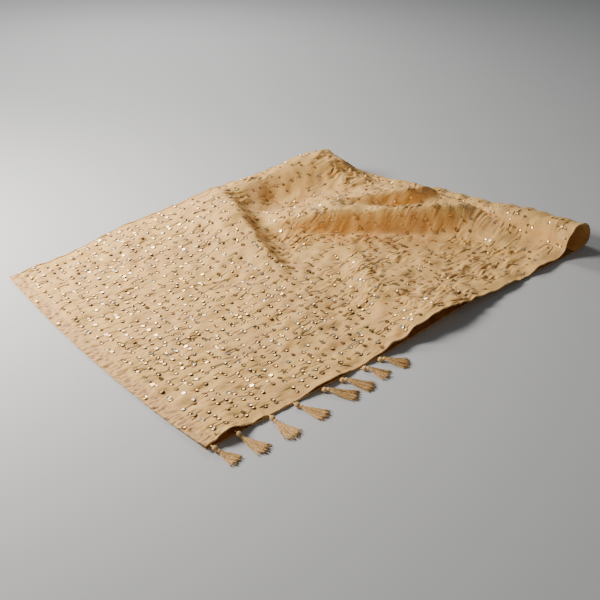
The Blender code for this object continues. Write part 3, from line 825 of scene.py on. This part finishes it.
def tassel_piece(number, tassel):
    """A whole tassel as one piece."""
    draw = np.random.default_rng(500 + number)
    hem, start, tip = tassel_ends(tassel)
    shape = bmesh.new()
    add_knot(shape, hem, start)
    out = tip - start
    out.z = 0.0
    out.normalize()
    level = Vector((-out.y, out.x, 0.0))
    bend = draw.normal(0, 0.0015)
    for _ in range(THREADS):
        angle = draw.uniform(0, 2 * math.pi)
        spread = math.cos(angle) * math.sqrt(draw.random())
        across = spread * SKIRT_HALF_WIDTH * draw.uniform(0.75, 1.05)
        above = draw.uniform(0.0007, 2 * SKIRT_HALF_HEIGHT - 0.0008) * (1 - 0.4 * abs(spread))
        reach = draw.uniform(0.86, 1.03) * (1 - 0.10 * spread**2)
        wave = draw.uniform(0.0002, 0.0009)
        phase = draw.uniform(0, 6.3)
        way = []
        for step in range(9):
            t = step / 8
            opened = t**0.8
            sway = wave * math.sin(phase + 7 * t) * t + bend * t * t
            place = start.lerp(tip, t * reach)
            side = (1 - opened) * spread * 0.0024 + opened * across + sway
            height = (1 - t) * (start.z + math.sin(angle) * 0.0022) + t * above
            sag = 0.0012 * math.sin(math.pi * t)
            place = place + level * side
            place.z = max(height - sag, 0.0007)
            way.append(place)
        add_thread(shape, way, draw.uniform(0.00045, 0.00065))
    bmesh.ops.recalc_face_normals(shape, faces=shape.faces)
    mesh = bpy.data.meshes.new(f"tassel_{number}")
    shape.to_mesh(mesh)
    shape.free()
    mesh.shade_smooth()
    return linked(f"tassel_{number}", mesh)


tassels = [tassel_piece(number, tassel) for number, tassel in enumerate(TASSELS, start=1)]
print("faces of a tassel:", len(tassels[0].data.polygons))

# %% [markdown]
# ## Finishes
# The cloth is matt and a little see-through: light from behind glows warm in the steep faces of the
# pleats. Its colour drifts between sand and a pinker beige, and shade is painted darker into its creases.


# %% Node helpers
def new_finish(name):
    made = bpy.data.materials.new(name)
    made.use_nodes = True
    nodes = made.node_tree.nodes
    return made, nodes, made.node_tree.links, nodes["Principled BSDF"]


def add_node(nodes, kind, **settings):
    node = nodes.new(kind)
    for key, value in settings.items():
        setattr(node, key, value)
    return node


def noise_node(nodes, links, source, scale, detail, stretch=None):
    """Noise over some coordinates, stretched if asked."""
    if stretch is not None:
        mapping = add_node(nodes, "ShaderNodeMapping")
        mapping.inputs["Scale"].default_value = stretch
        links.new(source, mapping.inputs["Vector"])
        source = mapping.outputs["Vector"]
    noise = add_node(nodes, "ShaderNodeTexNoise")
    noise.inputs["Scale"].default_value = scale
    noise.inputs["Detail"].default_value = detail
    links.new(source, noise.inputs["Vector"])
    return noise.outputs["Fac"]


def ramp_node(nodes, links, source, low, high):
    """A smooth step from low to high."""
    ramp = add_node(nodes, "ShaderNodeMapRange", interpolation_type="SMOOTHSTEP")
    ramp.inputs["From Min"].default_value = low
    ramp.inputs["From Max"].default_value = high
    links.new(source, ramp.inputs["Value"])
    return ramp.outputs["Result"]


def mix_node(nodes, links, share, first, second):
    """A mix of two colours, each a colour or a socket."""
    mix = add_node(nodes, "ShaderNodeMix", data_type="RGBA")
    if isinstance(share, float):
        mix.inputs["Factor"].default_value = share
    else:
        links.new(share, mix.inputs["Factor"])
    for socket, colour in ((mix.inputs[6], first), (mix.inputs[7], second)):
        if isinstance(colour, tuple):
            socket.default_value = (*colour, 1.0)
        else:
            links.new(colour, socket)
    return mix.outputs[2]


def math_node(nodes, links, operation, *values):
    """A sum of two or three values, each a number or a socket."""
    node = add_node(nodes, "ShaderNodeMath", operation=operation)
    for socket, value in zip(node.inputs, values):
        if isinstance(value, (int, float)):
            socket.default_value = value
        else:
            links.new(value, socket)
    return node.outputs[0]


# %% Crinkled cloth
SAND = (0.88, 0.500, 0.148)
PALE = (0.96, 0.580, 0.188)
ROSE = (0.84, 0.468, 0.165)
# painted shade colour: it darkens the creases, the sequins' painted shadows, fine streaks and flecks, and the
# hem's stitch pits
CREASE_SHADE = (0.105, 0.056, 0.024)
BAND = (0.70, 0.40, 0.19)
GLOW = (0.72, 0.40, 0.17)
SEEN_THROUGH = 0.03            # share of the light that comes through the cloth everywhere
MORE_ON_TOP = 0.025            # and the extra share of the upper layer
cloth_finish, nodes, links, shader = new_finish("crinkled_cloth")
weave_map = add_node(nodes, "ShaderNodeUVMap", uv_map="Weave").outputs["UV"]
crease_shade_mark = add_node(nodes, "ShaderNodeAttribute", attribute_name="crease").outputs["Fac"]

drift = ramp_node(nodes, links, noise_node(nodes, links, weave_map, 9.0, 2.0), 0.38, 0.62)
patch = ramp_node(nodes, links, noise_node(nodes, links, weave_map, 34.0, 3.0), 0.40, 0.68)
colour = mix_node(nodes, links, drift, SAND, ROSE)
colour = mix_node(nodes, links, patch, colour, PALE)
streak = noise_node(nodes, links, weave_map, 1.0, 4.0, stretch=(110.0, 300.0, 1.0))
# painted shade along the troughs of fine streaks in the crinkle
streak_shade = ramp_node(nodes, links, streak, 0.44, 0.30)
colour = mix_node(nodes, links, math_node(nodes, links, "MULTIPLY", streak_shade, 0.16), colour, CREASE_SHADE)
# painted shade in the creases and beside the sequins, read from the crease attribute
crease_shade_share = math_node(nodes, links, "MULTIPLY", ramp_node(nodes, links, crease_shade_mark, 0.08, 0.52), 0.93)
colour = mix_node(nodes, links, crease_shade_share, colour, CREASE_SHADE)
# painted shade in fine dark flecks of the crinkle
fleck_shade = ramp_node(nodes, links, noise_node(nodes, links, weave_map, 300.0, 3.0), 0.46, 0.32)
colour = mix_node(nodes, links, math_node(nodes, links, "MULTIPLY", fleck_shade, 0.35), colour, CREASE_SHADE)
parts = add_node(nodes, "ShaderNodeSeparateXYZ")
links.new(weave_map, parts.inputs["Vector"])
band = math_node(nodes, links, "MULTIPLY", ramp_node(nodes, links, parts.outputs["X"], 0.027, 0.018), 0.55)
colour = mix_node(nodes, links, band, colour, BAND)
links.new(colour, shader.inputs["Base Color"])

streak_bump = add_node(nodes, "ShaderNodeBump")
streak_bump.inputs["Strength"].default_value = 0.6
streak_bump.inputs["Distance"].default_value = 0.0004
links.new(streak, streak_bump.inputs["Height"])
threads = add_node(nodes, "ShaderNodeTexWave", wave_type="BANDS", bands_direction="X")
threads.inputs["Scale"].default_value = 250.0
threads.inputs["Distortion"].default_value = 1.0
links.new(weave_map, threads.inputs["Vector"])
cross_threads = add_node(nodes, "ShaderNodeTexWave", wave_type="BANDS", bands_direction="Y")
cross_threads.inputs["Scale"].default_value = 250.0
cross_threads.inputs["Distortion"].default_value = 1.0
links.new(weave_map, cross_threads.inputs["Vector"])
woven = math_node(nodes, links, "ADD", threads.outputs["Fac"], cross_threads.outputs["Fac"])
weave_bump = add_node(nodes, "ShaderNodeBump")
weave_bump.inputs["Strength"].default_value = 0.25
weave_bump.inputs["Distance"].default_value = 0.0002
links.new(woven, weave_bump.inputs["Height"])
links.new(streak_bump.outputs["Normal"], weave_bump.inputs["Normal"])
links.new(weave_bump.outputs["Normal"], shader.inputs["Normal"])
shader.inputs["Roughness"].default_value = 0.78
shader.inputs["Specular IOR Level"].default_value = 0.25
shader.inputs["Sheen Weight"].default_value = 0.10
shader.inputs["Sheen Roughness"].default_value = 0.5
shader.inputs["Sheen Tint"].default_value = (1.0, 0.8, 0.55, 1.0)

glow = add_node(nodes, "ShaderNodeBsdfTranslucent")
links.new(mix_node(nodes, links, 0.5, colour, GLOW), glow.inputs["Color"])
links.new(weave_bump.outputs["Normal"], glow.inputs["Normal"])
both = add_node(nodes, "ShaderNodeMixShader")
thin = ramp_node(nodes, links, parts.outputs["X"], TOP_LENGTH + 0.07, TOP_LENGTH - 0.04)
links.new(math_node(nodes, links, "MULTIPLY_ADD", thin, MORE_ON_TOP, SEEN_THROUGH), both.inputs["Fac"])
links.new(shader.outputs["BSDF"], both.inputs[1])
links.new(glow.outputs["BSDF"], both.inputs[2])
links.new(both.outputs["Shader"], nodes["Material Output"].inputs["Surface"])
for piece in cloth_pieces[:-1]:
    piece.data.materials.append(cloth_finish)

# %% [markdown]
# The lower layer is only seen in shade, at the near edge and inside the loop, so it has its own finish with
# that shade painted in: browner, darker and duller.

# %% The lower layer, in painted shade
under_cloth_shade, nodes, links, shader = new_finish("under_cloth_shade")
weave_map = add_node(nodes, "ShaderNodeUVMap", uv_map="Weave").outputs["UV"]
# painted shade: the lower layer's colour is a dark brown because it is only seen in shade
shade_mottle = ramp_node(nodes, links, noise_node(nodes, links, weave_map, 60.0, 3.0), 0.38, 0.66)
colour = mix_node(nodes, links, shade_mottle, (0.30, 0.135, 0.058), (0.46, 0.235, 0.105))
links.new(colour, shader.inputs["Base Color"])
shader.inputs["Roughness"].default_value = 0.85
shader.inputs["Specular IOR Level"].default_value = 0.15
under_cloth.data.materials.append(under_cloth_shade)

# %% [markdown]
# A rolled hem is the same cloth turned over and sewn. Pits with painted shade and a soft bump stand for the
# stitches.

# %% Hem cloth
hem_finish, nodes, links, shader = new_finish("rolled_hem")
here = add_node(nodes, "ShaderNodeTexCoord").outputs["Object"]
stitches = noise_node(nodes, links, here, 260.0, 3.0)
lump_tone = ramp_node(nodes, links, noise_node(nodes, links, here, 60.0, 2.0), 0.40, 0.65)
colour = mix_node(nodes, links, lump_tone, (0.66, 0.38, 0.14), (0.80, 0.50, 0.20))
# painted shade in the stitch pits
pit_shade = ramp_node(nodes, links, stitches, 0.42, 0.30)
colour = mix_node(nodes, links, math_node(nodes, links, "MULTIPLY", pit_shade, 0.7), colour, CREASE_SHADE)
links.new(colour, shader.inputs["Base Color"])
hem_bump = add_node(nodes, "ShaderNodeBump")
hem_bump.inputs["Strength"].default_value = 0.7
hem_bump.inputs["Distance"].default_value = 0.0008
links.new(stitches, hem_bump.inputs["Height"])
links.new(hem_bump.outputs["Normal"], shader.inputs["Normal"])
shader.inputs["Roughness"].default_value = 0.8
shader.inputs["Specular IOR Level"].default_value = 0.2
for piece in (near_hem, far_hem, end_roll):
    piece.data.materials.append(hem_finish)

# %% [markdown]
# The tassels are twisted thread in two tones of sand, with a fine bump for the twist.

# %% Tassel thread
thread_finish, nodes, links, shader = new_finish("twisted_thread")
here = add_node(nodes, "ShaderNodeTexCoord").outputs["Object"]
strand_tone = ramp_node(nodes, links, noise_node(nodes, links, here, 420.0, 2.0), 0.35, 0.65)
colour = mix_node(nodes, links, strand_tone, (0.52, 0.28, 0.09), (0.94, 0.58, 0.23))
links.new(colour, shader.inputs["Base Color"])
ply = noise_node(nodes, links, here, 1400.0, 2.0)
ply_bump = add_node(nodes, "ShaderNodeBump")
ply_bump.inputs["Strength"].default_value = 0.6
ply_bump.inputs["Distance"].default_value = 0.0003
links.new(ply, ply_bump.inputs["Height"])
links.new(ply_bump.outputs["Normal"], shader.inputs["Normal"])
shader.inputs["Roughness"].default_value = 0.72
shader.inputs["Specular IOR Level"].default_value = 0.25
shader.inputs["Sheen Weight"].default_value = 0.2
for piece in tassels:
    piece.data.materials.append(thread_finish)

# %% [markdown]
# The sequins are gold to pearl and mirror the light softly. About a quarter have a dark reflection
# painted on their rim, which gives the dark crescents between the bright ones.

# %% Sequins' shine
sequin_finish, nodes, links, shader = new_finish("pearly_gold")
tint = add_node(nodes, "ShaderNodeAttribute", attribute_name="tint").outputs["Fac"]
rim = add_node(nodes, "ShaderNodeAttribute", attribute_name="rim").outputs["Fac"]
# painted dark reflection on the rims of about a quarter of the sequins
dark_reflection_share = ramp_node(nodes, links, tint, 0.30, 0.22)
GOLD = (1.0, 0.60, 0.24)
PEARL = (1.0, 0.82, 0.58)
DARK_RIM_REFLECTION = (0.16, 0.085, 0.032)
pearl = mix_node(nodes, links, ramp_node(nodes, links, tint, 0.60, 0.95), GOLD, PEARL)
shaded = math_node(nodes, links, "MULTIPLY", rim, dark_reflection_share)
colour = mix_node(nodes, links, shaded, pearl, DARK_RIM_REFLECTION)
links.new(colour, shader.inputs["Base Color"])
shader.inputs["Metallic"].default_value = 0.8
shader.inputs["Roughness"].default_value = 0.23
sequins.data.materials.append(sequin_finish)

# %% [markdown]
# ## What each piece stands for
# Every piece rides on the model's one body, and the imported parts that it stands for are hidden. The cut is
# 0.76 m wide: about 8% of it is assumed to be taken up by the crinkle.

# %% Tie the pieces to the model
STANDS_FOR = {
    end_band: ["upper_end_band"],
    left_field: ["upper_left"],
    middle_field: ["upper_middle"],
    right_field: ["upper_right"],
    fold_cloth: ["fold_roll"],
    under_cloth: ["lower_layer"],
    near_hem: ["near_hem_top", "near_hem_fold", "near_hem_under"],
    far_hem: ["far_hem_top", "far_hem_fold", "far_hem_under"],
}
for number, piece in enumerate(tassels, start=1):
    STANDS_FOR[piece] = [f"tassel_{number}_knot", f"tassel_{number}_skirt"]
for piece, nodes_of_it in STANDS_FOR.items():
    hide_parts(*nodes_of_it)
for piece in [*STANDS_FOR, end_roll, sequins]:
    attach(piece, "root")

# %% [markdown]
# ## Floor, light and camera
# A plain pale floor and one soft light high on the left behind the stole. Two weaker ones stand further
# back: the card is what the sequins mirror, and the lamp lights the floor behind. The room adds a little
# bluish light from all round.

# %% Floor
floor_shape = bmesh.new()
bmesh.ops.create_grid(floor_shape, x_segments=1, y_segments=1, size=30.0)
floor_mesh = bpy.data.meshes.new("floor")
floor_shape.to_mesh(floor_mesh)
floor_shape.free()
floor = linked("floor", floor_mesh)
floor_finish, nodes, links, shader = new_finish("floor_paper")
shader.inputs["Base Color"].default_value = (0.555, 0.55, 0.545, 1.0)
shader.inputs["Roughness"].default_value = 0.9
shader.inputs["Specular IOR Level"].default_value = 0.1
floor.data.materials.append(floor_finish)

# %% Lights
def soft_light(name, place, aim, size, energy, colour):
    """A square area light that faces a place."""
    lamp = bpy.data.lights.new(name, "AREA")
    lamp.size = size
    lamp.energy = energy
    lamp.color = colour
    holder = bpy.data.objects.new(name, lamp)
    holder.location = Vector(place) + Vector(SHIFT)
    aim = Vector(aim) + Vector(SHIFT)
    holder.rotation_euler = (aim - holder.location).to_track_quat("-Z", "Y").to_euler()
    holder.visible_camera = False
    bpy.context.scene.collection.objects.link(holder)
    return holder


soft_light("window", (-0.99, 0.76, 0.90), (-0.14, 0.46, 0.0), 0.50, 46.0, (1.0, 0.98, 0.94))
soft_light("back_card", (0.75, 2.1, 1.45), (-0.25, 0.0, 0.0), 1.0, 25.0, (1.0, 1.0, 1.0))
soft_light("far_lamp", (0.70, 3.0, 2.2), (0.70, 3.0, 0.0), 1.0, 29.0, (1.0, 1.0, 1.0))
room = bpy.data.worlds.new("room")
room.use_nodes = True
room.node_tree.nodes["Background"].inputs["Color"].default_value = (0.87, 0.95, 1.0, 1.0)
room.node_tree.nodes["Background"].inputs["Strength"].default_value = 0.135
bpy.context.scene.world = room

# %% Camera
AIM = Vector((-0.0950, -0.1067, 0.0)) + Vector(SHIFT)
DISTANCE = 1.6711
AZIMUTH = math.radians(-40.88)
ELEVATION = math.radians(31.25)
lens = bpy.data.cameras.new("camera")
lens.lens = 50.0
lens.sensor_width = 36.0
camera = bpy.data.objects.new("camera", lens)
looking = Vector((-math.sin(AZIMUTH) * math.cos(ELEVATION), math.cos(AZIMUTH) * math.cos(ELEVATION),
                  -math.sin(ELEVATION)))
camera.location = AIM - DISTANCE * looking
camera.rotation_euler = (math.pi / 2 - ELEVATION, 0.0, AZIMUTH)
bpy.context.scene.collection.objects.link(camera)
bpy.context.scene.camera = camera
print("camera at", [round(c, 3) for c in camera.location])

# %% The end
bpy.context.view_layer.update()
